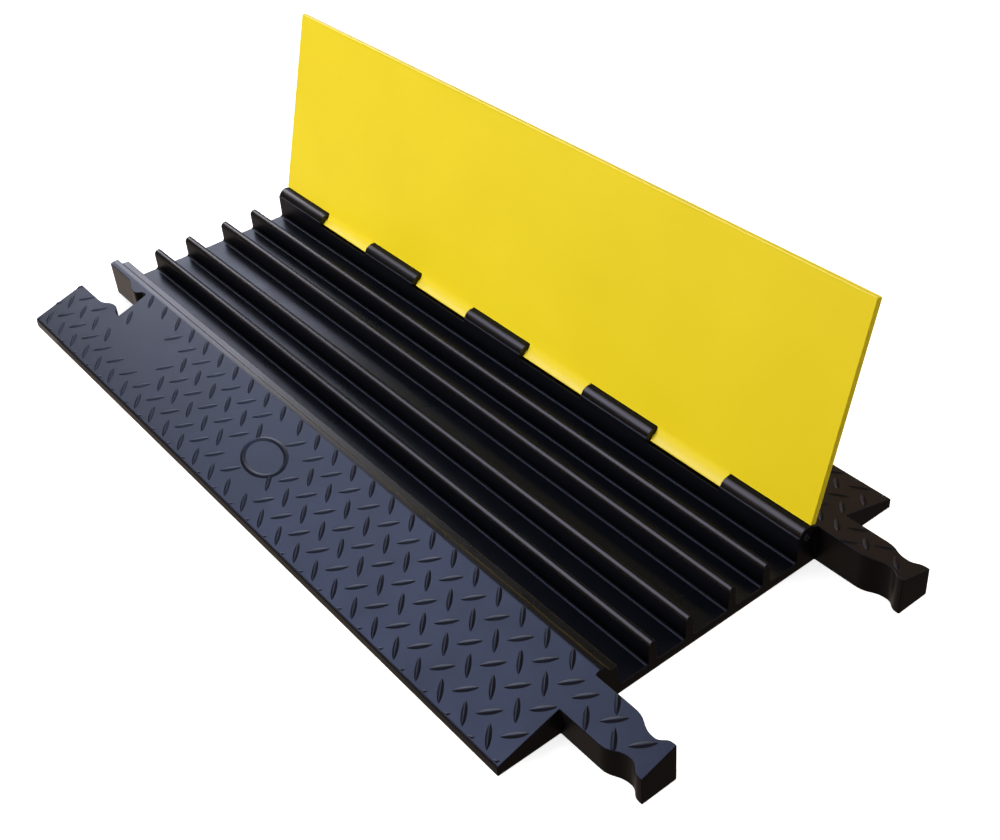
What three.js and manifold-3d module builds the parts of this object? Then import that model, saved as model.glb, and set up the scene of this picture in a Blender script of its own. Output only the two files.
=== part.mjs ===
// Five-channel floor cable ramp: a moulded rubber base with two ramps, four cable dividers and
// interlocking ends, and a hinged lid standing open on a steel rod.
// Millimetres, +Z up. Origin: middle of the module's underside. +X runs along the channels
// towards the plug end, +Y runs from the front ramp towards the hinge.
import * as THREE from 'three';
import { mergeVertices } from 'three/addons/utils/BufferGeometryUtils.js';
import Module from 'manifold-3d';

const wasm = await Module();
wasm.setup();

// Module
const MODULE_LENGTH = 900;
const MODULE_WIDTH = 480;
const TOE_HEIGHT = 8.4;
const TOE_ROUND = 2.6;
const RAMP_RUN = 111.5;
const CREST_HEIGHT = 43.4;
const CREST_FLAT = 4.6;
const CREST_ROUND = 2.4;
const CREST_WALL_SLOPE = 3.6;
const LEDGE_HEIGHT = 35.7;
const LEDGE_WIDTH = 8;
const WALL_DRAFT = 1.6;
const FLOOR_THICKNESS = 10.3;
const FOOT_FILLET = 4;

// Cable dividers
const MIDDLE_CHANNEL_PITCH = 52.4;
const SIDE_CHANNEL_PITCH = 43.1;
const DIVIDER_HEIGHT = 35.2;
const DIVIDER_TOP_WIDTH = 9.6;
const DIVIDER_FOOT_WIDTH = 14;
const DIVIDER_TOP_ROUND = 4.2;

// Hinge
const HINGE_BEFORE_CREST = 7.5;
const KNUCKLE_RADIUS = 11.2;
const KNUCKLE_COUNT = 9;
const KNUCKLE_END_GAP = 0.5;
const KNUCKLE_SWING_GAP = 0.6;
const HINGE_WALL_THICKNESS = 2.2;
const ROD_RADIUS = 4;
const ROD_GAP = 0.3;
const ROD_RECESS = 2;

// Lid
const LID_THICKNESS = 7;
const LID_FRONT_GAP = 1.9;
const LID_LEAN = 16;
const LID_EDGE_ROUND = 1.8;
const LID_REST_GAP = 0.3;
const AXIS_BELOW_LID = 0.4;

// Interlocking ends
const PLUG_INSET = 86.5;
const PLUG_LENGTH = 96.5;
const PLUG_TIP = 3.5;
const PLUG_FLARE = 16;
const PLUG_WAIST = 29;
const PLUG_WIDTH = 40;
const PLUG_NECK_WIDTH = 24.4;
const PLUG_HEAD_WIDTH = 37.6;
const SOCKET_SIDE_GAP = 0.7;
const SOCKET_END_GAP = 1;

// Smoothness of the facets
const ARC_STEPS = 4;
const ROUND_STEPS = 28;
const CURVE_STEPS = 8;
const CUT_MARGIN = 5;

// Places that follow from the sizes
const HALF_LENGTH = MODULE_LENGTH / 2;
const HALF_WIDTH = MODULE_WIDTH / 2;
const CREST_Y = HALF_WIDTH - RAMP_RUN;
const RAMP_SLOPE = (CREST_HEIGHT - TOE_HEIGHT - TOE_ROUND) / RAMP_RUN;
const CREST_WALL_FOOT = CREST_Y - CREST_FLAT - CREST_ROUND - CREST_WALL_SLOPE;
const LEDGE_INNER_Y = CREST_WALL_FOOT - LEDGE_WIDTH;
const HINGE_OFFSET = CREST_Y - HINGE_BEFORE_CREST;
const HINGE_Z = LEDGE_HEIGHT + LID_REST_GAP - AXIS_BELOW_LID;
const KNUCKLE_LENGTH = MODULE_LENGTH / KNUCKLE_COUNT;
const POCKET_RADIUS = KNUCKLE_RADIUS + KNUCKLE_SWING_GAP;
const HINGE_WALL_Y = HINGE_OFFSET - POCKET_RADIUS - HINGE_WALL_THICKNESS;
const LID_REACH = HINGE_OFFSET + CREST_WALL_FOOT - LID_FRONT_GAP;
const OPEN_ANGLE = THREE.MathUtils.degToRad(90 + LID_LEAN);
const PLUG_HEAD_AT = PLUG_LENGTH - PLUG_TIP;
const PLUG_NECK_AT = PLUG_HEAD_AT - PLUG_FLARE;
const PLUG_STRAIGHT = PLUG_NECK_AT - PLUG_WAIST;
const DIVIDERS = [-1, 1].flatMap((side) => [
  side * MIDDLE_CHANNEL_PITCH / 2,
  side * (MIDDLE_CHANNEL_PITCH / 2 + SIDE_CHANNEL_PITCH),
]).sort((a, b) => a - b);

const rubber = new THREE.MeshStandardMaterial({ color: 0x2e323b, roughness: 0.62, metalness: 0 });
const yellow = new THREE.MeshStandardMaterial({ color: 0xe6cf2e, roughness: 0.5, metalness: 0 });
const steel = new THREE.MeshStandardMaterial({ color: 0x8c9096, roughness: 0.35, metalness: 1 });

// Points of a circular arc, from one angle to another, in degrees
function arc(centreA, centreB, radius, from, to, steps = ARC_STEPS) {
  const points = [];
  for (let i = 0; i <= steps; i += 1) {
    const angle = THREE.MathUtils.degToRad(from + (to - from) * i / steps);
    points.push([centreA + radius * Math.cos(angle), centreB + radius * Math.sin(angle)]);
  }
  return points;
}

// A closed solid from a geometry, in place
function solid(geometry, matrix) {
  const bare = geometry.clone();
  bare.deleteAttribute('normal');
  bare.deleteAttribute('uv');
  if (matrix) {
    bare.applyMatrix4(matrix);
  }
  const merged = mergeVertices(bare, 1e-4);
  return new wasm.Manifold(new wasm.Mesh({
    numProp: 3,
    vertProperties: new Float32Array(merged.attributes.position.array),
    triVerts: new Uint32Array(merged.index.array),
  }));
}

function extruded(points, depth) {
  const shape = new THREE.Shape(points.map(([a, b]) => new THREE.Vector2(a, b)));
  return new THREE.ExtrudeGeometry(shape, { depth, bevelEnabled: false, steps: 1 });
}

// A section in the Y-Z plane swept along X
function sweptX(section, from, to) {
  const turn = new THREE.Matrix4().makeBasis(
    new THREE.Vector3(0, 1, 0),
    new THREE.Vector3(0, 0, 1),
    new THREE.Vector3(1, 0, 0),
  );
  turn.setPosition(from, 0, 0);
  return solid(extruded(section, to - from), turn);
}

// An outline in the X-Y plane raised along Z
function raised(outline, from, to) {
  return solid(extruded(outline, to - from), new THREE.Matrix4().makeTranslation(0, 0, from));
}

function rodAlongX(radius, from, to, y, z) {
  return sweptX(arc(y, z, radius, 0, 360, ROUND_STEPS).slice(0, -1), from, to);
}

function mesh(name, manifold, material) {
  const data = manifold.getMesh();
  const geometry = new THREE.BufferGeometry();
  geometry.setAttribute('position', new THREE.BufferAttribute(new Float32Array(data.vertProperties), 3));
  geometry.setIndex(new THREE.BufferAttribute(new Uint32Array(data.triVerts), 1));
  geometry.computeVertexNormals();
  const result = new THREE.Mesh(geometry, material);
  result.name = name;
  return result;
}

// Toe, ramp, crest and ledge on the +Y side, from the toe inwards; mirrored for the front
function rampSection() {
  const top = TOE_HEIGHT + TOE_ROUND;
  const wallTop = CREST_Y - CREST_FLAT - CREST_ROUND;
  return [
    [HALF_WIDTH, 0],
    [HALF_WIDTH, TOE_HEIGHT],
    [HALF_WIDTH - TOE_ROUND * 0.35, TOE_HEIGHT + TOE_ROUND * 0.7],
    [HALF_WIDTH - TOE_ROUND, top + RAMP_SLOPE * TOE_ROUND],
    [CREST_Y, CREST_HEIGHT],
    [CREST_Y - CREST_FLAT, CREST_HEIGHT],
    [wallTop + CREST_ROUND * 0.3, CREST_HEIGHT - CREST_ROUND * 0.35],
    [wallTop, CREST_HEIGHT - CREST_ROUND],
    [wallTop - CREST_WALL_SLOPE, LEDGE_HEIGHT],
  ];
}

function mirrored(points) {
  return points.map(([y, z]) => [-y, z]).reverse();
}

// One divider, from its -Y foot over its round top to its +Y foot
function dividerSection(y) {
  const foot = DIVIDER_FOOT_WIDTH / 2;
  const head = DIVIDER_TOP_WIDTH / 2;
  const filletTop = FLOOR_THICKNESS + FOOT_FILLET;
  const roundBase = DIVIDER_HEIGHT - DIVIDER_TOP_ROUND;
  return [
    ...arc(y - foot - FOOT_FILLET, filletTop, FOOT_FILLET, -90, 0),
    [y - head, roundBase],
    ...arc(y, roundBase, DIVIDER_TOP_ROUND, 157.5, 22.5),
    [y + head, roundBase],
    ...arc(y + foot + FOOT_FILLET, filletTop, FOOT_FILLET, 180, 270),
  ];
}

// The whole section of the tray, with the hinge wall in place of the rear ledge
function traySection() {
  const filletTop = FLOOR_THICKNESS + FOOT_FILLET;
  const stopY = HINGE_OFFSET + POCKET_RADIUS * Math.cos(THREE.MathUtils.degToRad(40));
  const stopZ = CREST_HEIGHT - RAMP_SLOPE * Math.max(0, stopY - CREST_Y);
  const frontFoot = -LEDGE_INNER_Y + WALL_DRAFT;
  const hingeFoot = HINGE_WALL_Y - WALL_DRAFT;
  return [
    [HALF_WIDTH, 0],
    ...rampSection().slice(1, 4),
    [stopY, stopZ],
    [HINGE_OFFSET, HINGE_Z],
    [HINGE_OFFSET, LEDGE_HEIGHT - LID_REST_GAP],
    [HINGE_WALL_Y, LEDGE_HEIGHT - LID_REST_GAP],
    ...arc(hingeFoot - FOOT_FILLET, filletTop, FOOT_FILLET, 0, -90),
    ...[...DIVIDERS].reverse().flatMap((y) => dividerSection(y).reverse()),
    ...arc(frontFoot + FOOT_FILLET, filletTop, FOOT_FILLET, 270, 180),
    [-LEDGE_INNER_Y, LEDGE_HEIGHT],
    ...mirrored(rampSection()).slice(0, -1),
    [-HALF_WIDTH, 0],
  ];
}

// Half-widths of the dog-bone plug along its length, widened by a gap for its socket
function plugOutline(sideGap, endGap) {
  const half = PLUG_WIDTH / 2 + sideGap;
  const neck = PLUG_NECK_WIDTH / 2 + sideGap;
  const head = PLUG_HEAD_WIDTH / 2 + sideGap;
  const end = PLUG_LENGTH + endGap;
  const waist = new THREE.CubicBezierCurve(
    new THREE.Vector2(PLUG_STRAIGHT, half),
    new THREE.Vector2(PLUG_STRAIGHT + PLUG_WAIST / 2, half),
    new THREE.Vector2(PLUG_STRAIGHT + PLUG_WAIST / 2, neck),
    new THREE.Vector2(PLUG_NECK_AT, neck),
  );
  const flare = new THREE.CubicBezierCurve(
    new THREE.Vector2(PLUG_NECK_AT, neck),
    new THREE.Vector2(PLUG_NECK_AT + PLUG_FLARE / 2, neck),
    new THREE.Vector2(PLUG_NECK_AT + PLUG_FLARE / 2, head),
    new THREE.Vector2(PLUG_HEAD_AT, head),
  );
  const side = [
    ...waist.getPoints(CURVE_STEPS).map((p) => [p.x, p.y]),
    ...flare.getPoints(CURVE_STEPS).slice(1).map((p) => [p.x, p.y]),
    [end, head],
  ];
  const start = [-CUT_MARGIN, half];
  return [start, ...side, ...[start, ...side].map(([x, y]) => [x, -y]).reverse()];
}

function placed(outline, x, y) {
  return outline.map(([a, b]) => [a + x, b + y]);
}

// The plugs are cut from a sweep of the ramps, so that their tops carry on the ramps' slope
function plugs() {
  const wedge = [
    [HALF_WIDTH, 0],
    ...rampSection().slice(1, 5),
    [CREST_Y - CREST_FLAT, CREST_HEIGHT],
    [CREST_Y - CREST_FLAT, 0],
  ];
  const from = HALF_LENGTH - CUT_MARGIN;
  const to = HALF_LENGTH + PLUG_LENGTH + CUT_MARGIN;
  return [wedge, mirrored(wedge)].map((section, index) => {
    const y = (index === 0 ? 1 : -1) * (HALF_WIDTH - PLUG_INSET);
    const outline = placed(plugOutline(0, 0), HALF_LENGTH, y);
    return sweptX(section, from, to).intersect(raised(outline, -CUT_MARGIN, CREST_HEIGHT + CUT_MARGIN));
  });
}

function sockets() {
  return [1, -1].map((side) => raised(
    placed(plugOutline(SOCKET_SIDE_GAP, SOCKET_END_GAP), -HALF_LENGTH, side * (HALF_WIDTH - PLUG_INSET)),
    -CUT_MARGIN,
    CREST_HEIGHT + CUT_MARGIN,
  ));
}

// Ends of the knuckle at an index, counted from the socket end; even ones belong to the base
function knuckleSpan(index, gap) {
  const start = -HALF_LENGTH + index * KNUCKLE_LENGTH;
  const from = index === 0 ? start : start + gap;
  const to = index === KNUCKLE_COUNT - 1 ? start + KNUCKLE_LENGTH : start + KNUCKLE_LENGTH - gap;
  return [from, to];
}

function knuckleIndices(parity) {
  return Array.from({ length: KNUCKLE_COUNT }, (_, i) => i).filter((i) => i % 2 === parity);
}

// The lid's turn about the hinge axis, from closed to standing open
function lidPlacement() {
  return new THREE.Matrix4()
    .makeRotationX(-OPEN_ANGLE)
    .setPosition(0, HINGE_OFFSET, HINGE_Z);
}

// Lid panel and knuckles, built closed with the hinge axis as the X axis
function lidSolid() {
  const under = AXIS_BELOW_LID;
  const over = AXIS_BELOW_LID + LID_THICKNESS;
  const r = LID_EDGE_ROUND;
  const edge = [
    ...arc(-LID_REACH + r, over - r, r, 90, 180, 3),
    ...arc(-LID_REACH + r, under + r, r, 180, 270, 3),
  ];
  let lid = sweptX([[-POCKET_RADIUS, over], ...edge, [-POCKET_RADIUS, under]], -HALF_LENGTH, HALF_LENGTH);
  for (const index of knuckleIndices(1)) {
    const [from, to] = knuckleSpan(index, KNUCKLE_END_GAP);
    const overlap = CUT_MARGIN;
    const web = [
      [0, over],
      [-POCKET_RADIUS - overlap, over],
      [-POCKET_RADIUS - overlap, under],
      [0, under],
    ];
    lid = lid.add(sweptX(web, from, to)).add(rodAlongX(KNUCKLE_RADIUS, from, to, 0, 0));
  }
  return lid.subtract(rodAlongX(ROD_RADIUS + ROD_GAP, -HALF_LENGTH, HALF_LENGTH, 0, 0));
}

// The face on the rear crest that the open lid leans on, cut parallel to the lid
function stopCut(from, to) {
  const over = AXIS_BELOW_LID + LID_THICKNESS + LID_REST_GAP;
  const reach = POCKET_RADIUS + CUT_MARGIN;
  const section = [[0, over], [-reach, over], [-reach, 0], [0, 0]];
  return sweptX(section, from, to).transform(lidPlacement().elements);
}

function baseSolid() {
  let base = sweptX(traySection(), -HALF_LENGTH, HALF_LENGTH);
  for (const index of knuckleIndices(0)) {
    const [from, to] = knuckleSpan(index, 0);
    base = base.add(rodAlongX(KNUCKLE_RADIUS, from, to, HINGE_OFFSET, HINGE_Z));
  }
  for (const index of knuckleIndices(1)) {
    const [from, to] = knuckleSpan(index, 0);
    base = base.subtract(rodAlongX(POCKET_RADIUS, from, to, HINGE_OFFSET, HINGE_Z));
    base = base.subtract(stopCut(from, to));
  }
  for (const plug of plugs()) {
    base = base.add(plug);
  }
  for (const socket of sockets()) {
    base = base.subtract(socket);
  }
  const bore = rodAlongX(
    ROD_RADIUS + ROD_GAP,
    -HALF_LENGTH - CUT_MARGIN,
    HALF_LENGTH + CUT_MARGIN,
    HINGE_OFFSET,
    HINGE_Z,
  );
  return base.subtract(bore);
}

const cableRamp = new THREE.Group();
cableRamp.add(mesh('base', baseSolid(), rubber));

const lid = mesh('lid', lidSolid(), yellow);
lid.applyMatrix4(lidPlacement());
cableRamp.add(lid);

const rodEnd = HALF_LENGTH - ROD_RECESS;
cableRamp.add(mesh('hinge_rod', rodAlongX(ROD_RADIUS, -rodEnd, rodEnd, HINGE_OFFSET, HINGE_Z), steel));

export default cableRamp;
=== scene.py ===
"""Five-channel rubber cable ramp with its hinged lid standing open, dressed for the render.

Sizes below are in millimetres in the row's frame: +X along the channels towards the plug end,
+Y from the front ramp to the hinge, +Z up, origin in the middle of the underside.
"""

import math

import bpy
from mathutils import Matrix, Vector


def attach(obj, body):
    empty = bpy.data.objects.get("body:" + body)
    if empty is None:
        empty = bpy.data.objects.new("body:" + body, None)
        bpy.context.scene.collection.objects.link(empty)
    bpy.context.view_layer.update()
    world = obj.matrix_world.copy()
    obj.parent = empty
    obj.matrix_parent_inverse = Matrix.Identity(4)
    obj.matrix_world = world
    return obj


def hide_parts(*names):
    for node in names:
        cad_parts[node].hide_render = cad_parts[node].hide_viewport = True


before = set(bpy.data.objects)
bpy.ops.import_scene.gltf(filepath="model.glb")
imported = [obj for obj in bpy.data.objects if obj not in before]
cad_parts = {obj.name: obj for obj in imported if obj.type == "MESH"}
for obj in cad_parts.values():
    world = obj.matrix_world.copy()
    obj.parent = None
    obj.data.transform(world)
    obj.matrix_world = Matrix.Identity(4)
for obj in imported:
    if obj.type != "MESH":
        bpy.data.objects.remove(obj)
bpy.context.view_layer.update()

MM = 0.001

# Tray
HALF_LENGTH = 450.0
HALF_WIDTH = 240.0
TOE_HEIGHT = 8.4
TOE_ROUND = 2.6
CREST_Y = 128.5
CREST_HEIGHT = 43.4
CREST_FLAT = 4.6
CREST_ROUND = 2.4
CREST_WALL_FOOT = 117.9
LEDGE_HEIGHT = 35.7
LEDGE_INNER_Y = 109.9
FLOOR = 10.3
FOOT_FILLET = 3.3
WALL_DRAFT = 1.6
RAMP_SLOPE = (CREST_HEIGHT - TOE_HEIGHT - TOE_ROUND) / (HALF_WIDTH - CREST_Y)
RAMP_ANGLE = math.atan(RAMP_SLOPE)

# Small forms of the tray's section: where the crest's soft edge starts on the ramp and ends on
# the flat, and how far along each its curve is pulled; the foot of the crest's wall; how far a
# wall stops below its corner and how much it leans there; how full the toe's round is
EDGE_ON_RAMP, PULL_ON_RAMP = 1.6, 0.4
EDGE_ON_FLAT, PULL_ON_FLAT = 1.4, 0.2
WALL_FOOT_OUT, WALL_FOOT_UP = 0.9, 1.0
LIP = 0.6
LIP_LEAN = 0.05
TOE_FULLNESS = 0.75

# Cable dividers
DIVIDER_PLACES = (-69.8, -26.2, 25.8, 69.2)
DIVIDER_HEIGHT = 35.2
DIVIDER_FRONT = 5.1
DIVIDER_BACK = 4.2
FRONT_ROUND = 6.1
BACK_ROUND = 3.1

# Hinge
HINGE_Y = 121.0
HINGE_Z = 35.6
KNUCKLE_RADIUS = 11.2
KNUCKLE_LENGTH = 100.0
KNUCKLE_GAP = 0.5
NOTCH_REACH = 11.8
POCKET_RADIUS = 9.4
HINGE_WALL_Y = 109.3
HINGE_WALL_TOP = 39.5
HINGE_WALL_DRAFT = 0.6
HINGE_WALL_LIP = 0.4
BARREL_END = 42.6  # Degrees above level, where the barrel meets the rear ramp
POCKET_START = 195  # Degrees, where the pocket's round starts
POCKET_LIP = (HINGE_Y - 11.0, HINGE_Z - 1.3)
POCKET_DROP = 1.0
BORE_RADIUS = 4.3
BORE_SIDES = 32
# The knuckles along the hinge, counted from the socket end
TRAY_KNUCKLES = (0, 2, 4, 6, 8)
LID_KNUCKLES = (1, 3, 5, 7)

# Lid
LID_UNDER = 0.4
LID_OVER = 7.4
LID_REACH = 236.9
LID_EDGE_ROUND = 1.8
LID_CORNER_ROUND = 0.8
LID_STOP = 7.7
BARREL_RADIUS = 7.0
BARREL_SHIFT = 1.2
LIP_DROP = 8.1
LIP_PAST = 1.5
LIP_SWEEP = 20.0
OPEN_ANGLE = math.radians(106)

# Interlocking ends
PLUG_Y = 153.5
PLUG_STRAIGHT = 48.0
PLUG_NECK_AT = 77.0
PLUG_HEAD_AT = 93.0
PLUG_LENGTH = 96.5
PLUG_HALF = 20.0
PLUG_HALF_NECK = 12.2
PLUG_HALF_HEAD = 18.8
SOCKET_SIDE_GAP = 0.7
SOCKET_END_GAP = 1.0
MIDDLE_GAP = 1.0  # What the blocks round a plug leave before the tray's middle line

# How far the cutting blocks stand past what they cut, and how high they are
CUT = 6.0
CUT_HEIGHT = CREST_HEIGHT + 3 * CUT


# --- Modelling by hand, in code ---------------------------------------------------------------

def deselect():
    if bpy.context.mode != "OBJECT":
        bpy.ops.object.mode_set(mode="OBJECT")
    bpy.ops.object.select_all(action="DESELECT")


def choose(*pieces):
    """Selects these pieces alone, the first of them active."""
    deselect()
    for piece in pieces:
        piece.select_set(True)
    bpy.context.view_layer.objects.active = pieces[0]


def open_mesh(piece, mode="FACE"):
    choose(piece)
    bpy.ops.object.mode_set(mode="EDIT")
    bpy.ops.mesh.select_mode(type=mode)


def close_mesh():
    bpy.ops.object.mode_set(mode="OBJECT")


def select_where(piece, faces=None, edges=None, points=None):
    """Selects a mesh's faces, edges or points by a test of their place, in millimetres."""
    close_mesh()
    mesh = piece.data
    for group in (mesh.vertices, mesh.edges, mesh.polygons):
        group.foreach_set("select", [False] * len(group))
    if faces:
        for face in mesh.polygons:
            face.select = faces(face.center / MM, face.normal)
    if edges:
        for edge in mesh.edges:
            a, b = (mesh.vertices[i].co / MM for i in edge.vertices)
            edge.select = edges(a, b)
    if points:
        for point in mesh.vertices:
            point.select = points(point.co / MM)
    bpy.ops.object.mode_set(mode="EDIT")
    bpy.ops.mesh.select_mode(type="FACE" if faces else "EDGE" if edges else "VERT")


def named(name):
    piece = bpy.context.active_object
    piece.name = piece.data.name = name
    return piece


def settle():
    """Puts the piece's place into its mesh, so that its object sits at the origin."""
    bpy.ops.object.transform_apply(location=True, rotation=True, scale=True)


def apply_modifier(piece, kind, **settings):
    choose(piece)
    modifier = piece.modifiers.new(kind.title(), kind)
    for name, value in settings.items():
        setattr(modifier, name, value)
    bpy.ops.object.modifier_apply(modifier=modifier.name)


def cut_away(piece, cutter):
    apply_modifier(piece, "BOOLEAN", operation="DIFFERENCE", solver="EXACT", object=cutter)
    bpy.data.objects.remove(cutter)


def swept(name, outline, along, start, length):
    """Traces an outline point by point, fills it, and draws it out along an axis.

    along "X" takes (y, z) outlines, and along "Z" takes (x, y) outlines.
    """
    def place(point):
        a, b = point
        return Vector((start, a, b) if along == "X" else (a, b, start)) * MM

    deselect()
    bpy.ops.mesh.primitive_plane_add(size=MM, location=place(outline[0]))
    piece = named(name)
    settle()
    open_mesh(piece, "VERT")
    bpy.ops.mesh.select_all(action="SELECT")
    bpy.ops.mesh.merge(type="CENTER")
    for here, there in zip(outline, outline[1:]):
        bpy.ops.mesh.extrude_vertices_move(
            TRANSFORM_OT_translate={"value": place(there) - place(here)})
    bpy.ops.mesh.select_all(action="SELECT")
    bpy.ops.mesh.edge_face_add()
    step = Vector((length, 0, 0) if along == "X" else (0, 0, length)) * MM
    bpy.ops.mesh.extrude_region_move(TRANSFORM_OT_translate={"value": step})
    bpy.ops.mesh.select_all(action="SELECT")
    bpy.ops.mesh.normals_make_consistent(inside=False)
    close_mesh()
    return piece


def joined(name, pieces):
    choose(*pieces)
    bpy.ops.object.join()
    return named(name)


def moulded(piece, round_over=0.7, sharper_than=28):
    """Rounds the sharp edges as a mould leaves them, and shades the flat faces flat."""
    apply_modifier(piece, "BEVEL", width=round_over * MM, segments=2, limit_method="ANGLE",
                   angle_limit=math.radians(sharper_than), use_clamp_overlap=False,
                   miter_outer="MITER_ARC", loop_slide=False)
    choose(piece)
    bpy.ops.object.shade_smooth()
    apply_modifier(piece, "WEIGHTED_NORMAL", mode="FACE_AREA_WITH_ANGLE", weight=100,
                   keep_sharp=True)


# --- Outlines ---------------------------------------------------------------------------------

def arc(a, b, radius, start, end, steps):
    """Points of an arc about (a, b), with the angles in degrees."""
    turns = [math.radians(start + (end - start) * i / steps) for i in range(steps + 1)]
    return [(a + radius * math.cos(t), b + radius * math.sin(t)) for t in turns]


def curve(p0, p1, p2, p3, steps):
    """Points of a cubic curve after its first."""
    points = []
    for i in range(1, steps + 1):
        t = i / steps
        weights = ((1 - t) ** 3, 3 * t * (1 - t) ** 2, 3 * t * t * (1 - t), t ** 3)
        points.append(tuple(sum(w * p[k] for w, p in zip(weights, (p0, p1, p2, p3)))
                            for k in (0, 1)))
    return points


def ramp_height(y):
    return CREST_HEIGHT - RAMP_SLOPE * (abs(y) - CREST_Y)


def toe_outline():
    """The rear toe, from the ground up to where the ramp's flat face starts."""
    low = (HALF_WIDTH, TOE_HEIGHT - LIP)
    corner = (HALF_WIDTH, TOE_HEIGHT + TOE_ROUND * TOE_FULLNESS)
    high = (HALF_WIDTH - TOE_ROUND, ramp_height(HALF_WIDTH - TOE_ROUND))
    return [(HALF_WIDTH, 0.0), low] + curve(low, corner, corner, high, 6)


def crest_outline():
    """The front crest and ledge on the +Y side, from the ramp's top edge inwards."""
    wall_top = CREST_Y - CREST_FLAT - CREST_ROUND
    edge = (CREST_Y + EDGE_ON_RAMP, ramp_height(CREST_Y + EDGE_ON_RAMP))
    pull = (CREST_Y + PULL_ON_RAMP, ramp_height(CREST_Y + PULL_ON_RAMP))
    soft = (CREST_Y - EDGE_ON_FLAT, CREST_HEIGHT)
    return ([edge] + curve(edge, pull, (CREST_Y - PULL_ON_FLAT, CREST_HEIGHT), soft, 3)
            + arc(CREST_Y - CREST_FLAT, CREST_HEIGHT - CREST_ROUND, CREST_ROUND, 90, 160, 5)
            + [(wall_top + LIP_LEAN, CREST_HEIGHT - CREST_ROUND - LIP),
               (CREST_WALL_FOOT + WALL_FOOT_OUT, LEDGE_HEIGHT + WALL_FOOT_UP),
               (CREST_WALL_FOOT, LEDGE_HEIGHT)])


def mirrored(points):
    return [(-a, b) for a, b in reversed(points)]


def divider_outline(y):
    """One divider, from its +Y foot over its top, worn rounder in front, to its -Y foot."""
    fillet = FLOOR + FOOT_FILLET
    back, front = y + DIVIDER_BACK, y - DIVIDER_FRONT
    return (arc(back + FOOT_FILLET, fillet, FOOT_FILLET, 270, 180, 7)
            + arc(back - BACK_ROUND, DIVIDER_HEIGHT - BACK_ROUND, BACK_ROUND, 0, 90, 7)
            + arc(front + FRONT_ROUND, DIVIDER_HEIGHT - FRONT_ROUND, FRONT_ROUND, 90, 180, 12)
            + arc(front - FOOT_FILLET, fillet, FOOT_FILLET, 0, -90, 7))


def tray_outline():
    """The whole section of the tray, with the hinge barrel along its rear crest."""
    fillet = FLOOR + FOOT_FILLET
    barrel_foot = math.degrees(math.asin((HINGE_WALL_TOP - HINGE_Z) / KNUCKLE_RADIUS))
    front_foot = -LEDGE_INNER_Y + WALL_DRAFT
    hinge_foot = HINGE_WALL_Y - HINGE_WALL_DRAFT
    return (toe_outline()
            + arc(HINGE_Y, HINGE_Z, KNUCKLE_RADIUS, BARREL_END, 180 - barrel_foot, 20)
            + [(HINGE_WALL_Y + HINGE_WALL_LIP, HINGE_WALL_TOP),
               (HINGE_WALL_Y, HINGE_WALL_TOP - HINGE_WALL_LIP)]
            + arc(hinge_foot - FOOT_FILLET, fillet, FOOT_FILLET, 0, -90, 7)
            + [point for y in reversed(DIVIDER_PLACES) for point in divider_outline(y)]
            + arc(front_foot + FOOT_FILLET, fillet, FOOT_FILLET, 270, 180, 7)
            + [(-LEDGE_INNER_Y - LIP_LEAN, LEDGE_HEIGHT - LIP),
               (-LEDGE_INNER_Y - LIP, LEDGE_HEIGHT)]
            + mirrored(crest_outline())
            + mirrored(toe_outline()))


def plug_side(side_gap=0.0, end_gap=0.0):
    """Half-widths along the plug, from its root to its end; gaps widen it into a socket."""
    half, neck, head = (w + side_gap for w in (PLUG_HALF, PLUG_HALF_NECK, PLUG_HALF_HEAD))
    middle = (PLUG_STRAIGHT + PLUG_NECK_AT) / 2
    flare = (PLUG_NECK_AT + PLUG_HEAD_AT) / 2
    straight = (PLUG_STRAIGHT, half)
    waist = (PLUG_NECK_AT, neck)
    return ([straight] + curve(straight, (middle, half), (middle, neck), waist, 10)
            + curve(waist, (flare, neck), (flare, head), (PLUG_HEAD_AT, head), 10)
            + [(PLUG_LENGTH + end_gap, head)])


# --- The rubber base --------------------------------------------------------------------------

def pocket_outline():
    """Room for a lid knuckle: a round pocket and the flat face that the open lid leans on."""
    out = (math.sin(OPEN_ANGLE), math.cos(OPEN_ANGLE))
    up = (-math.cos(OPEN_ANGLE), math.sin(OPEN_ANGLE))

    def at(along, off):
        return (HINGE_Y + along * up[0] + off * out[0], HINGE_Z + along * up[1] + off * out[1])

    reach = math.sqrt(POCKET_RADIUS ** 2 - LID_STOP ** 2)
    lean = math.degrees(math.atan2(up[1], up[0]))
    stop_angle = lean - math.degrees(math.atan2(LID_STOP, reach))
    high = NOTCH_REACH + CUT
    front = HINGE_WALL_Y - WALL_DRAFT
    return ([at(high, LID_STOP), at(high, 0), (front, at(high, 0)[1]),
             (front, HINGE_Z - POCKET_DROP), POCKET_LIP]
            + arc(HINGE_Y, HINGE_Z, POCKET_RADIUS, POCKET_START, stop_angle + 360, 24))


def plug_surround(side, room=0.0):
    """Blocks that leave only the plug on one side of the tray's +X end, less some room."""
    end, past = HALF_LENGTH + PLUG_LENGTH + CUT, HALF_WIDTH + CUT
    side_of_plug = [(x + HALF_LENGTH, y) for x, y in plug_side(-room)[:-1]]
    edge = [(HALF_LENGTH + room, PLUG_HALF - room), *side_of_plug, (end, PLUG_HALF_HEAD - room)]
    blocks = []
    for turn, limit in ((1, PLUG_Y - MIDDLE_GAP), (-1, past - PLUG_Y)):
        outline = [(x, side * PLUG_Y - side * turn * y) for x, y in edge]
        far = side * PLUG_Y - side * turn * limit
        blocks.append(swept("surround", outline + [(end, far), (HALF_LENGTH + room, far)],
                            "Z", -CUT, CUT_HEIGHT))
    return blocks


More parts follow.
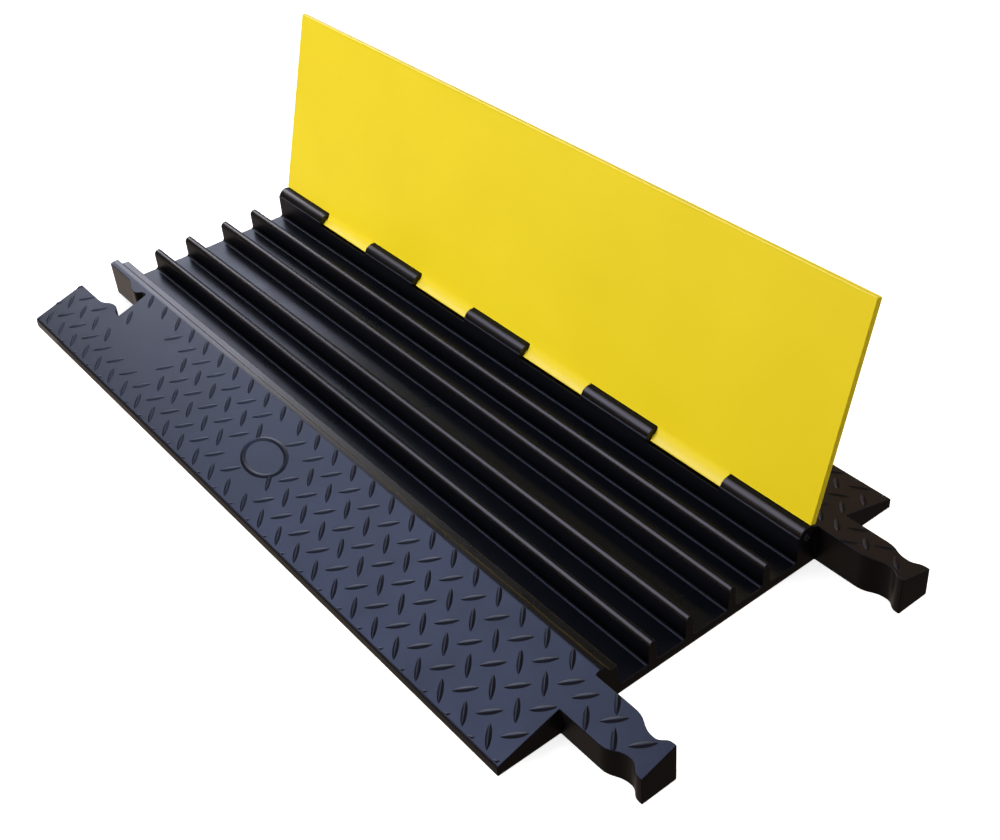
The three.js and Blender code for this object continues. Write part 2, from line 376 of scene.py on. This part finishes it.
def socket_block(name, middle, room=0.0):
    """The space of the socket that takes the next tray's plug."""
    side = plug_side(SOCKET_SIDE_GAP + room, SOCKET_END_GAP + room)
    mouth = [(-HALF_LENGTH - CUT, PLUG_HALF + SOCKET_SIDE_GAP + room)] + [
        (x - HALF_LENGTH, y) for x, y in side]
    outline = [(x, y + middle) for x, y in mouth] + [(x, middle - y) for x, y in reversed(mouth)]
    return swept(name, outline, "Z", -CUT, CUT_HEIGHT)


def end_blocks():
    """Everything past the tray's +X end but the two plugs."""
    side = [(x + HALF_LENGTH, y) for x, y in plug_side()[:-1]]
    end, past = HALF_LENGTH + PLUG_LENGTH + CUT, HALF_WIDTH + CUT
    inner = [(HALF_LENGTH, PLUG_HALF), *side, (end, PLUG_HALF_HEAD)]
    front_inner = [(x, y - PLUG_Y) for x, y in inner]
    front_outer = [(x, -y - PLUG_Y) for x, y in inner]
    outlines = (
        ("end_between", front_inner + [(x, -y) for x, y in reversed(front_inner)]),
        ("end_front", front_outer + [(end, -past), (HALF_LENGTH, -past)]),
        ("end_rear", [(x, -y) for x, y in front_outer] + [(end, past), (HALF_LENGTH, past)]))
    return [swept(name, outline, "Z", -CUT, CUT_HEIGHT) for name, outline in outlines]


def bore_block(y, z):
    """The rod's bore, right through, about (y, z)."""
    return swept("bore", arc(y, z, BORE_RADIUS, 0, 360 - 360 / BORE_SIDES, BORE_SIDES - 1), "X",
                 -HALF_LENGTH - CUT, 2 * (HALF_LENGTH + CUT))


def make_tray():
    """The rubber base: one section drawn out to the plugs' ends, with all else cut away."""
    length = 2 * HALF_LENGTH + PLUG_LENGTH
    tray = swept("rubber_tray", tray_outline(), "X", -HALF_LENGTH, length)
    cutters = end_blocks()
    cutters += [socket_block("socket", middle) for middle in (PLUG_Y, -PLUG_Y)]
    for index in LID_KNUCKLES:
        start = -HALF_LENGTH + index * KNUCKLE_LENGTH
        cutters.append(swept("pocket", pocket_outline(), "X", start, KNUCKLE_LENGTH))
    cut_away(tray, joined("cutters", cutters))
    cut_away(tray, bore_block(HINGE_Y, HINGE_Z))
    moulded(tray)
    return tray


# --- Lid --------------------------------------------------------------------------------------

def lid_outline():
    """The closed lid's section about the hinge axis, its underside sweeping down to a lip."""
    r = LID_EDGE_ROUND
    run = math.sqrt(LIP_SWEEP ** 2 - (LIP_SWEEP - LIP_DROP) ** 2)
    lip = math.degrees(math.acos(run / LIP_SWEEP))
    return (arc(-LID_REACH + r, LID_UNDER + r, r, 270, 180, 6)
            + arc(-LID_REACH + r, LID_OVER - r, r, 180, 90, 6)
            + arc(-BARREL_SHIFT, LID_UNDER, BARREL_RADIUS, 90, -60, 18)
            + arc(LIP_PAST - run, LID_UNDER - LIP_SWEEP, LIP_SWEEP, lip, 90, 12))


def make_lid():
    """The lid, modelled closed about the hinge axis, then swung open."""
    lid = swept("lid_panel", lid_outline(), "X", -HALF_LENGTH, 2 * HALF_LENGTH)
    cutters = []
    high = KNUCKLE_RADIUS + CUT
    for index in TRAY_KNUCKLES:
        start = -HALF_LENGTH + index * KNUCKLE_LENGTH - KNUCKLE_GAP
        length = KNUCKLE_LENGTH + 2 * KNUCKLE_GAP
        if index == TRAY_KNUCKLES[0]:
            start -= CUT
            length += CUT
        if index == TRAY_KNUCKLES[-1]:
            length += CUT
        cutters.append(swept("notch", [(-NOTCH_REACH, -high), (high, -high), (high, high),
                                       (-NOTCH_REACH, high)], "X", start, length))
    cut_away(lid, joined("cutters", cutters))
    cut_away(lid, bore_block(0, 0))
    moulded(lid, LID_CORNER_ROUND)
    lid.data.transform(Matrix.Translation(Vector((0, HINGE_Y, HINGE_Z)) * MM)
                       @ Matrix.Rotation(-OPEN_ANGLE, 4, "X"))
    return lid


# --- Tread and ring ---------------------------------------------------------------------------

PITCH_X = 33.0
PITCH_Y = 30.6
BAR_LENGTH = 24.0
BAR_WIDTH = 5.8
BAR_RISE = 1.35
BAR_RIDGE = 1.0
BAR_TURN = math.radians(47)
BAR_ROOT = 0.3
# Where along its length a bar is drawn in towards its points, as shares of it, with how square
# and how steep the drawing in is, how much of the width its blunt points keep, and how much
# less the ridge falls than the sides draw in
BAR_STATIONS = (-0.42, -0.3, -0.15, 0.0, 0.15, 0.3, 0.42)
BAR_SQUARENESS, BAR_STEEPNESS = 2.2, 0.75
BAR_POINT = 0.12
RIDGE_FALL = 0.6
TREAD_SMOOTH = math.radians(50)
CLOSE = 0.05  # Millimetres within which two places count as one
# The lattice: its first bars that lean back and forward, its rows and columns, and how far it
# stays from the tray's cut edges
BACK_START = (15, 12.8)
FORWARD_START = (31, -2.9)
ROWS = 4
COLUMNS = 27
TREAD_MARGIN = 0.9
TOE_MARGIN = 2.4
CREST_MARGIN = 0.6
# Near the socket, from the socket end and from the toe: the strip before the crest that is too
# narrow for a bar, how far in the socket is wide, and what a bar needs beside its neck
STRIP_LENGTH, STRIP_FROM = 90, 100
SOCKET_WIDE = 60
NECK_MARGIN = 3
# The plugs carry the same bars, half a step on
PLUG_BARS = [(923.4, 75.0, True), (955.6, 76.0, True), (932.5, 101.0, True),
             (908.0, 88.0, False), (942.2, 88.8, False), (975.7, 88.5, False)]
# Bars that the bare patch beside the front socket leaves out: (x, y, leaning back)
BARE = {(147, 43, True), (180, 43, True), (213, 43, True), (147, 74, True), (180, 74, True),
        (213, 74, True), (130, 58, False), (163, 58, False), (196, 58, False), (97, 58, False),
        (97, 89, False), (130, 89, False), (163, 89, False)}

# The ring on the front ramp, with its middle from the socket end and from the toe
RING_X, RING_Y = 445.4, 58.6
RING_LONG, RING_SHORT = 33.4, 23.5
RING_WIDTH = 6.4
RING_RISE = 1.35
RING_ROOT = 0.15
RING_ROUND = 1.0
RING_SIDES = 96
RING_CLEAR = 1  # How far outside the ring a bar's ends have to be


def make_bar():
    """One tread bar lying along X on the ground: a low ridge with pointed ends."""
    deselect()
    bpy.ops.mesh.primitive_cylinder_add(vertices=4, radius=0.5 * BAR_WIDTH * MM,
                                        depth=BAR_LENGTH * MM, rotation=(0, math.pi / 2, 0))
    bar = named("tread_bar")
    settle()
    # Split it along its length
    for share in BAR_STATIONS:
        open_mesh(bar)
        bpy.ops.mesh.select_all(action="SELECT")
        bpy.ops.mesh.bisect(plane_co=(share * BAR_LENGTH * MM, 0, 0), plane_no=(1, 0, 0))
        close_mesh()
    # Draw each station in towards the points
    for share in (-0.5, *BAR_STATIONS, 0.5):
        size = max(BAR_POINT, (1 - abs(2 * share) ** BAR_SQUARENESS) ** BAR_STEEPNESS)
        select_where(bar, points=lambda p, at=share * BAR_LENGTH: abs(p.x - at) < CLOSE)
        bpy.ops.transform.resize(value=(1, size, size ** RIDGE_FALL * 2 * BAR_RISE / BAR_WIDTH),
                                 center_override=(share * BAR_LENGTH * MM, 0, 0))
        close_mesh()
    # Round the ridge, then keep what stands out of the ramp with a little root below its face
    select_where(bar, edges=lambda a, b: abs(a.y) + abs(b.y) < CLOSE < min(a.z, b.z))
    bpy.ops.mesh.bevel(offset=BAR_RIDGE * MM, segments=2, clamp_overlap=True)
    bpy.ops.mesh.select_all(action="SELECT")
    bpy.ops.mesh.bisect(plane_co=(0, 0, -BAR_ROOT * MM), plane_no=(0, 0, 1),
                        clear_inner=True, use_fill=True)
    bpy.ops.mesh.select_all(action="SELECT")
    bpy.ops.mesh.normals_make_consistent(inside=False)
    close_mesh()
    choose(bar)
    bpy.ops.object.shade_smooth_by_angle(angle=TREAD_SMOOTH)
    return bar


def laid(bar, x, y, turn, side):
    """A copy of the bar, turned on the ramp's face and laid at (x, y)."""
    copy = bar.copy()
    copy.data = bar.data.copy()
    bpy.context.collection.objects.link(copy)
    slope = Matrix.Rotation(RAMP_ANGLE * -side, 4, "X")
    place = Matrix.Translation(Vector((x, y, ramp_height(y))) * MM)
    copy.data.transform(place @ slope @ Matrix.Rotation(turn, 4, "Z"))
    return copy


def bar_places():
    """The tread's lattice: (x from the socket end, y from the toe, whether it leans back)."""
    places = []
    for row in range(ROWS):
        back_y, forward_y = (start[1] + PITCH_Y * row for start in (BACK_START, FORWARD_START))
        for i in range(COLUMNS):
            places.append((BACK_START[0] + PITCH_X * i, back_y, True))
            places.append((FORWARD_START[0] + PITCH_X * i, forward_y, False))
        places.append((FORWARD_START[0] - PITCH_X, forward_y, False))
    return [place for place in places if not in_socket(*place[:2])] + PLUG_BARS


def in_socket(x, y):
    """Whether a bar would lie over the socket or on the narrow neck between it and the crest."""
    if x < STRIP_LENGTH and y > STRIP_FROM:
        return True
    width = PLUG_HALF if x < SOCKET_WIDE else PLUG_HALF_NECK + NECK_MARGIN
    return x < PLUG_LENGTH and abs(y - HALF_WIDTH + PLUG_Y) < width


def meets_ring(x, y, turn):
    """Whether a bar's middle or either of its ends lies within the ring."""
    reach = (0.5 * BAR_LENGTH * math.cos(turn), -0.5 * BAR_LENGTH * math.sin(turn))
    return any(math.hypot((x + end * reach[0] - RING_X) / (RING_LONG + RING_CLEAR),
                          (y + end * reach[1] - RING_Y) / (RING_SHORT + RING_CLEAR)) < 1
               for end in (-1, 0, 1))


def make_tread(name, bar, side, plain=()):
    """Lays the lattice on one ramp and trims what would stand past the moulding's edges."""
    copies = []
    for x, y, back in bar_places():
        turn = side * (BAR_TURN if back else -BAR_TURN)
        bare = meets_ring(x, y, turn) or (round(x), round(y), back) in plain
        if side < 0 and bare:
            continue
        copies.append(laid(bar, x - HALF_LENGTH, side * (HALF_WIDTH - y), turn, side))
    tread = joined(name, copies)
    edges = (((-HALF_LENGTH + TREAD_MARGIN, 0, 0), (-1, 0, 0)),
             ((0, side * (HALF_WIDTH - TOE_MARGIN), 0), (0, side, 0)),
             ((0, side * (CREST_Y + CREST_MARGIN), 0), (0, -side, 0)))
    for place, outwards in edges:
        open_mesh(tread)
        bpy.ops.mesh.select_all(action="SELECT")
        bpy.ops.mesh.bisect(plane_co=Vector(place) * MM, plane_no=outwards, clear_outer=True,
                            use_fill=True)
        close_mesh()
    socket = socket_block("tread_socket", side * PLUG_Y, TREAD_MARGIN)
    cut_away(tread, joined("tread_edges", [socket] + plug_surround(side, TREAD_MARGIN)))
    choose(tread)
    bpy.ops.object.shade_smooth_by_angle(angle=TREAD_SMOOTH)
    return tread


def make_ring():
    """A plain oval ring on the front ramp: a low bead of even width."""
    x, y = RING_X - HALF_LENGTH, RING_Y - HALF_WIDTH
    deselect()
    bpy.ops.mesh.primitive_cylinder_add(vertices=RING_SIDES, radius=MM, depth=2 * MM,
                                        location=Vector((x, y, ramp_height(y))) * MM)
    ring = named("plain_ring")
    ring.scale = (RING_LONG, RING_SHORT, RING_ROOT)
    ring.rotation_euler.x = RAMP_ANGLE
    settle()
    select_where(ring, faces=lambda place, normal: normal.z > 0.9)
    bpy.ops.transform.translate(value=(0, 0, -2 * RING_ROOT * MM))
    for rise in (RING_RISE + RING_ROOT, -RING_RISE - RING_ROOT):
        bpy.ops.mesh.inset(thickness=0.5 * RING_WIDTH * MM, depth=rise * MM)
    close_mesh()
    apply_modifier(ring, "BEVEL", width=RING_ROUND * MM, segments=3, limit_method="ANGLE",
                   angle_limit=math.radians(25))
    choose(ring)
    bpy.ops.object.shade_smooth_by_angle(angle=math.radians(35))
    return ring


# --- The pieces -------------------------------------------------------------------------------

tray = make_tray()
bar = make_bar()
tread_front = make_tread("tread_front", bar, -1, BARE)
tread_rear = make_tread("tread_rear", bar, 1)
bpy.data.objects.remove(bar)
ring = make_ring()
lid = make_lid()


# --- Materials --------------------------------------------------------------------------------

def linear(text):
    """A linear colour from an sRGB hex value."""
    parts = [int(text[i:i + 2], 16) / 255 for i in (1, 3, 5)]
    return [c / 12.92 if c <= 0.04045 else ((c + 0.055) / 1.055) ** 2.4 for c in parts] + [1.0]


def add_node(tree, kind, inputs=None, **settings):
    """Adds a node with its settings; an input is a value or another node's socket."""
    made = tree.nodes.new(kind)
    for name, value in settings.items():
        setattr(made, name, value)
    for name, value in (inputs or {}).items():
        if isinstance(value, bpy.types.NodeSocket):
            tree.links.new(value, made.inputs[name])
        else:
            made.inputs[name].default_value = value
    return made


def new_material(name, **shader):
    material = bpy.data.materials.new(name)
    material.use_nodes = True
    tree = material.node_tree
    tree.nodes.clear()
    surface = add_node(tree, "ShaderNodeBsdfPrincipled", shader)
    add_node(tree, "ShaderNodeOutputMaterial", {"Surface": surface.outputs["BSDF"]})
    places = add_node(tree, "ShaderNodeTexCoord").outputs["Object"]
    return material, tree, surface, places


def finish_with(piece, material):
    piece.data.materials.clear()
    piece.data.materials.append(material)


def moulded_rubber(name, dark, light, low_gloss, high_gloss, specular, grain_depth=0.0006,
                   tint="#ffffff"):
    """Compression-moulded black rubber: a dark body with a soft broad sheen, faint grain from
    the mould, and a slight change of gloss from place to place."""
    material, tree, surface, places = new_material(
        name, IOR=1.52, **{"Specular IOR Level": specular, "Specular Tint": linear(tint)})
    # Patches of gloss about 60 mm across, where the mould was smoother
    patches = add_node(tree, "ShaderNodeTexNoise", {
        "Vector": places, "Scale": 1 / 0.06, "Detail": 4.0, "Roughness": 0.55})
    # Grain of the mould's face, 1.6 mm across: the real one is about 0.3 mm, too fine to show
    grain = add_node(tree, "ShaderNodeTexNoise", {
        "Vector": places, "Scale": 1 / 0.0016, "Detail": 3.0, "Roughness": 0.6})
    gloss = add_node(tree, "ShaderNodeMapRange", {
        "Value": patches.outputs["Fac"], "From Min": 0.3, "From Max": 0.7,
        "To Min": low_gloss, "To Max": high_gloss})
    colour = add_node(tree, "ShaderNodeMix", {
        "Factor": grain.outputs["Fac"], 6: linear(dark), 7: linear(light)},
        data_type="RGBA")
    bump = add_node(tree, "ShaderNodeBump", {
        "Height": grain.outputs["Fac"], "Strength": 0.12, "Distance": grain_depth})
    tree.links.new(colour.outputs[2], surface.inputs["Base Color"])
    tree.links.new(gloss.outputs["Result"], surface.inputs["Roughness"])
    tree.links.new(bump.outputs["Normal"], surface.inputs["Normal"])
    return material


def moulded_yellow():
    """Injection-moulded safety-yellow polyethylene: satin, faintly clouded, slightly dimpled."""
    material, tree, surface, places = new_material(
        "injection_moulded_polyethylene", IOR=1.5, **{"Specular IOR Level": 0.45})
    # Clouds of colour and gloss about 90 mm across, from the melt
    clouds = add_node(tree, "ShaderNodeTexNoise", {
        "Vector": places, "Scale": 1 / 0.09, "Detail": 3.0, "Roughness": 0.5})
    # Dimples about 4 mm across, where the skin sank a little as it cooled
    dimples = add_node(tree, "ShaderNodeTexNoise", {
        "Vector": places, "Scale": 1 / 0.004, "Detail": 2.0, "Roughness": 0.5})
    colour = add_node(tree, "ShaderNodeMix", {
        "Factor": clouds.outputs["Fac"], 6: linear("#e6d11d"), 7: linear("#efdb20")},
        data_type="RGBA")
    gloss = add_node(tree, "ShaderNodeMapRange", {
        "Value": clouds.outputs["Fac"], "From Min": 0.3, "From Max": 0.7, "To Min": 0.42,
        "To Max": 0.5})
    bump = add_node(tree, "ShaderNodeBump", {
        "Height": dimples.outputs["Fac"], "Strength": 0.08, "Distance": 0.0004})
    tree.links.new(colour.outputs[2], surface.inputs["Base Color"])
    tree.links.new(gloss.outputs["Result"], surface.inputs["Roughness"])
    tree.links.new(bump.outputs["Normal"], surface.inputs["Normal"])
    return material


def drawn_steel():
    """Drawn steel rod: bright, with fine lines along its length."""
    material, tree, surface, places = new_material(
        "drawn_steel", Metallic=1.0, **{"Base Color": linear("#a8aaad")})
    # Drawing lines 0.6 mm apart: the real ones are about 0.1 mm, too fine to show
    stretched = add_node(tree, "ShaderNodeMapping", {
        "Vector": places, "Scale": (0.02, 1.0, 1.0)})
    lines = add_node(tree, "ShaderNodeTexNoise", {
        "Vector": stretched.outputs["Vector"], "Scale": 1 / 0.0006, "Detail": 2.0})
    gloss = add_node(tree, "ShaderNodeMapRange", {
        "Value": lines.outputs["Fac"], "To Min": 0.25, "To Max": 0.45})
    tree.links.new(gloss.outputs["Result"], surface.inputs["Roughness"])
    return material


# Ramps, tread and ring: a soft broad sheen, where feet and wheels have burnished them
rubber = moulded_rubber("burnished_moulded_rubber", "#0b0a0a", "#100e0e", 0.35, 0.42, 0.28)
# The channels as the blasted mould left them: nearly no sheen, and a faint blue painted into the
# colour as a painted reflection of the sky
matt_rubber = moulded_rubber("blasted_rubber_painted_sky_blue", "#0b0c11", "#0f1015", 0.36, 0.44, 0.05,
                             0.0002)
# Rubbed by cables and the lid: a narrow warm glint along the rounds
rubbed_rubber = moulded_rubber("rubbed_moulded_rubber", "#0b0a0a", "#100e0e", 0.27, 0.33, 0.52,
                               0.00005, "#ffe4be")
# The fillets at the walls' feet, which nothing rubs: a dim wide sheen
dull_rubber = moulded_rubber("dull_moulded_rubber", "#0b0b0e", "#0e0e11", 0.42, 0.5, 0.2,
                             0.0002, "#fff0dc")
# The channels' floors, scuffed by cables: a thin, fairly clear gloss over the matt skin, whose
# colour carries the same faint blue painted in as a painted reflection of the sky
scuffed_rubber = moulded_rubber("scuffed_rubber_painted_sky_blue", "#0b0c11", "#0f1015", 0.26, 0.32, 0.12,
                                0.0001)
# The crest and ledge, worn by the lid's edge: clearer than the ramps and a little warm
worn_rubber = moulded_rubber("worn_moulded_rubber", "#0b0a0a", "#100e0e", 0.25, 0.31, 0.28,
                             0.00005, "#fff0dc")
yellow = moulded_yellow()
steel = drawn_steel()

for piece in (tray, tread_front, tread_rear, ring):
    finish_with(piece, rubber)
    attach(piece, "base")
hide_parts("base")
# The channels keep the mould's blasted skin, scuffed on the floor and duller in the foot fillets;
# the dividers' tops and the hinge barrel are rubbed smooth in front, the crest and ledge less so
PLAIN, MATT, RUBBED, DULL, SCUFFED, WORN = range(6)
# The bands they cover: past a wall or barrel that still counts as its face, and past the hinge
# wall below the axis; down from a divider's top, within the dividers' reach of the middle; down
# from the ledge; and how far in front of the axis the barrel is rubbed
NEAR = 0.2
PAST_WALL = 3.0
TOP_BAND, DIVIDERS_REACH = 3.5, 80
LEDGE_BAND = 2
RUBBED_FROM = 1.6
# How a face has to point: level, out of the floor, to the rear on a divider and on the crest
LEVEL, FILLETED = 0.98, 0.2
TOP_REAR, CREST_REAR = -0.08, 0.6
for skin in (matt_rubber, rubbed_rubber, dull_rubber, scuffed_rubber, worn_rubber):
    tray.data.materials.append(skin)


def tray_skin(place, normal):
    """Which skin a face of the tray has, by its place in millimetres and the way it faces."""
    if abs(normal.x) > 0.5:
        return PLAIN
    low = place.z < FLOOR + FOOT_FILLET
    past_wall = PAST_WALL if place.z < HINGE_Z else NEAR
    if -LEDGE_INNER_Y - NEAR < place.y < HINGE_WALL_Y + past_wall and place.z > FLOOR - 1:
        if place.z > DIVIDER_HEIGHT - TOP_BAND and abs(place.y) < DIVIDERS_REACH:
            return MATT if normal.y > TOP_REAR else RUBBED
        if low and normal.z > LEVEL:
            return SCUFFED
        return DULL if low and normal.z > FILLETED else MATT
    if abs(math.hypot(place.y - HINGE_Y, place.z - HINGE_Z) - KNUCKLE_RADIUS) < NEAR:
        return MATT if place.y > HINGE_Y - RUBBED_FROM else RUBBED
    if -CREST_Y < place.y < -LEDGE_INNER_Y and place.z > LEDGE_HEIGHT - LEDGE_BAND:
        return MATT if normal.y > CREST_REAR else WORN
    return PLAIN


for face in tray.data.polygons:
    face.material_index = tray_skin(face.center / MM, face.normal)
finish_with(lid, yellow)
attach(lid, "lid")
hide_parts("lid")
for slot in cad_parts["hinge_rod"].material_slots:
    slot.material = steel


# --- Floor, light and camera ------------------------------------------------------------------

SKY_GLOW = 0.06
FLOOR_GLOW = 0.4
FLOOR_SIZE = 24
FLOOR_DROP = 0.0004


def add_light(name, place, aim, size, power, colour, diffuse=True, glossy=True):
    """A soft rectangular light; diffuse and glossy say what kind of sheen it gives."""
    deselect()
    bpy.ops.object.light_add(type="AREA", location=place)
    light = bpy.context.active_object
    light.name = name
    light.data.shape = "RECTANGLE"
    light.data.size, light.data.size_y = size
    light.data.energy = power
    light.data.color = linear(colour)[:3]
    light.rotation_euler = (Vector(aim) - Vector(place)).to_track_quat("-Z", "Y").to_euler()
    light.visible_diffuse, light.visible_glossy = diffuse, glossy
    return light


deselect()
bpy.ops.mesh.primitive_plane_add(size=FLOOR_SIZE, location=(0, 0, -FLOOR_DROP))
floor = named("floor")
settle()
floor.visible_diffuse = floor.visible_glossy = False
# Matt background paper: it glows a little, so that it stays pale and even to its edges
finish_with(floor, new_material("pale_floor", Roughness=0.9, **{
    "Base Color": linear("#ececec"), "Emission Color": linear("#ffffff"),
    "Emission Strength": 0.75})[0])

world = bpy.data.worlds.new("studio")
bpy.context.scene.world = world
world.use_nodes = True
sky = world.node_tree
sky.nodes.clear()
# A pale room to the eye; as light, it is brighter overhead than it is low down
heading = add_node(sky, "ShaderNodeTexCoord").outputs["Generated"]
height = add_node(sky, "ShaderNodeSeparateXYZ", {"Vector": heading}).outputs["Z"]
glow = add_node(sky, "ShaderNodeMapRange", {
    "Value": height, "From Min": -0.05, "From Max": 0.6, "To Min": 0.015, "To Max": SKY_GLOW})
# What the walls mirror of the pale floor: dim and warm
below = add_node(sky, "ShaderNodeMapRange", {
    "Value": height, "From Min": -0.15, "From Max": -0.02, "To Min": 1.0, "To Max": 0.0})
along = add_node(sky, "ShaderNodeSeparateXYZ", {"Vector": heading}).outputs["X"]
spread = add_node(sky, "ShaderNodeMapRange", {
    "Value": along, "From Min": -0.8, "From Max": -0.35, "To Min": FLOOR_GLOW, "To Max": 0.06})
floor_light = add_node(sky, "ShaderNodeMath", {
    0: below.outputs["Result"], 1: spread.outputs["Result"]}, operation="MULTIPLY")
lit = add_node(sky, "ShaderNodeMath", {0: glow.outputs["Result"], 1: floor_light.outputs[0]},
               operation="ADD")
tint = add_node(sky, "ShaderNodeMix", {
    "Factor": below.outputs["Result"], 6: linear("#f4f6fa"), 7: linear("#ffe6d4")},
    data_type="RGBA")
seen = add_node(sky, "ShaderNodeLightPath").outputs["Is Camera Ray"]
strength = add_node(sky, "ShaderNodeMix", {
    "Factor": seen, 2: lit.outputs[0], 3: 1.0}, data_type="FLOAT")
backdrop = add_node(sky, "ShaderNodeBackground", {
    "Color": tint.outputs[2], "Strength": strength.outputs[0]})
add_node(sky, "ShaderNodeOutputWorld", {"Surface": backdrop.outputs["Background"]})

# Two panels that the ramps mirror towards the camera: a white one low on the left, and a bluer
# one above it; the channels' level floors mirror the dark room beside them
add_light("low_panel", (-2.31, 0.7, 1.2), (0, 0, 0), (2.1, 0.8), 39, "#dfe6ff")
add_light("high_panel", (-1.15, -0.62, 2.14), (0, 0, 0), (1.8, 1.6), 57, "#b2c4ff", diffuse=False)
# Two panels on the right, seen only as gloss, so that the tread shows from behind and the ends
for name, place in (("right_panel", (2.4, -1.6, 1.4)), ("far_panel", (2.1, 2.0, 1.4))):
    add_light(name, place, (0, 0, 0), (2.6, 1.6), 28, "#dfe6ff", diffuse=False)
# A white card on the floor at the socket end, which the walls there mirror
card = add_light("floor_card", (-0.85, -0.3, 0.0005), (-0.85, -0.3, 1), (0.9, 1.3), 1.2,
                 "#fff4ee", diffuse=False)
card.visible_camera = False
# A dim warm wall behind, which the rear ramp mirrors
add_light("rear_wall", (-1.5, 2.4, 0.85), (0.3, 0.15, 0), (2.4, 1.4), 6, "#cca07a")
# The room's light on the lid's two faces and on the floor
add_light("front", (-1.0, -3.0, 1.1), (0, 0, 0.12), (2.0, 1.4), 119, "#fff6ea", glossy=False)
add_light("back", (1.6, 2.4, 1.5), (0, 0.15, 0.1), (2.2, 1.6), 75, "#fff2e0", glossy=False)
add_light("top", (0.2, -0.2, 3.0), (0, 0, 0), (3.0, 3.0), 26, "#ffffff", glossy=False)

# The photograph's camera, as fitted to the part
FOCAL_LENGTH = 51.465
SENSOR_WIDTH = 36
DISTANCE = 1.520486
TARGET = Vector((83.792, 52.407, 0)) * MM
AZIMUTH, ELEVATION, ROLL = (math.radians(a) for a in (54.733, 37.661, -5.126))
back = Vector((math.sin(AZIMUTH) * math.cos(ELEVATION), -math.cos(AZIMUTH) * math.cos(ELEVATION),
               math.sin(ELEVATION)))
right = Vector((0, 0, 1)).cross(back).normalized()
up = back.cross(right)
turned_right = math.cos(ROLL) * right + math.sin(ROLL) * up
turned_up = -math.sin(ROLL) * right + math.cos(ROLL) * up
camera = bpy.data.objects.new("camera", bpy.data.cameras.new("camera"))
bpy.context.scene.collection.objects.link(camera)
camera.data.sensor_width = SENSOR_WIDTH
camera.data.sensor_fit = "HORIZONTAL"
camera.data.lens = FOCAL_LENGTH
camera.data.clip_start, camera.data.clip_end = 0.05, 60
camera.matrix_world = Matrix.Translation(TARGET + back * DISTANCE) @ Matrix(
    (turned_right, turned_up, back)).transposed().to_4x4()
bpy.context.scene.camera = camera
bpy.context.scene.view_settings.view_transform = "Standard"
